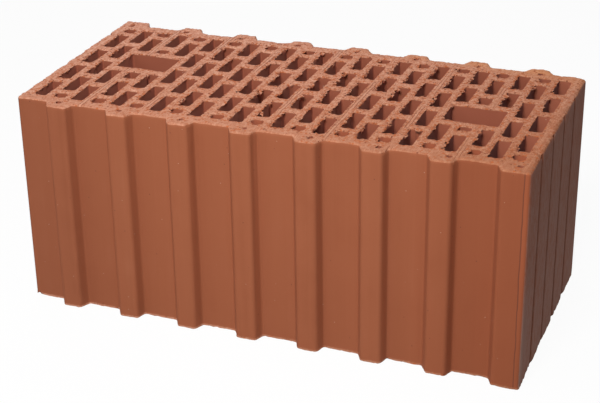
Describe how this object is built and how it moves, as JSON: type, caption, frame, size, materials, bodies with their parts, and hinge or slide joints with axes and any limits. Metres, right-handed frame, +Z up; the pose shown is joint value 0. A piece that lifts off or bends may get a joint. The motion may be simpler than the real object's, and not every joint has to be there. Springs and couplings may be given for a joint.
{
  "type": "hollow clay block",
  "caption": "Large-format fired clay wall block with upright slots, two grip holes, and interlocking tongues along both long sides.",
  "frame": {"origin": "centre of the lower bed face's bounding box, on the bed", "axes": "+X along the block's length, +Y across its width towards the back tongues, +Z up along the slots"},
  "size_m": [0.51, 0.25, 0.219],
  "materials": {
    "fired_clay": "matt fired red clay, smooth drawn sides and torn wire-cut beds"
  },
  "bodies": {
    "root": {"hollow_clay_block": "fired_clay"}
  },
  "joints": []
}
